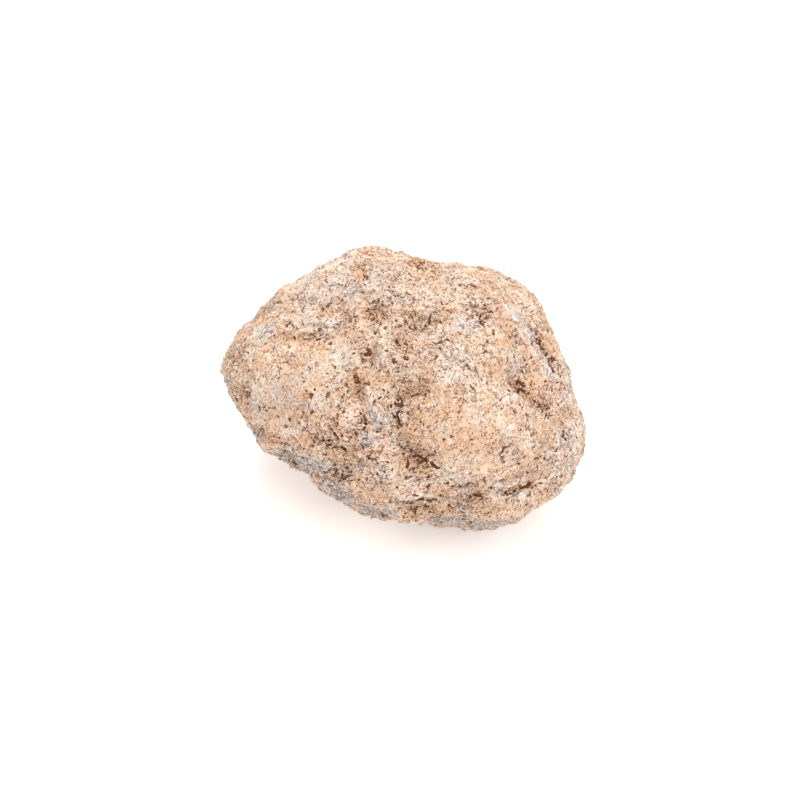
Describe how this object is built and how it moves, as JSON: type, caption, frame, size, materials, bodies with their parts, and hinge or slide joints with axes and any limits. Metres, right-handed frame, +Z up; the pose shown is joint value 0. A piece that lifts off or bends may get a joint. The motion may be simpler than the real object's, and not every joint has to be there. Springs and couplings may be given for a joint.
{
  "type": "unbroken agate geode nodule",
  "caption": "Closed, lumpy stone nodule with a crumbly, pitted tan rind, as found before it is cracked open; it rests on a small worn foot.",
  "frame": {"origin": "middle of the bounding box, on the table plane under the worn foot", "axes": "+Z up; +X along the nodule's long side, to the right as seen from its broad face; the broad face looks towards -Y and up, 40 degrees above the table"},
  "size_m": [0.0596, 0.0558, 0.0429],
  "materials": {
    "weathered_rind": "rough, crumbly and pitted"
  },
  "bodies": {
    "root": {"geode_nodule": "weathered_rind"}
  },
  "joints": []
}
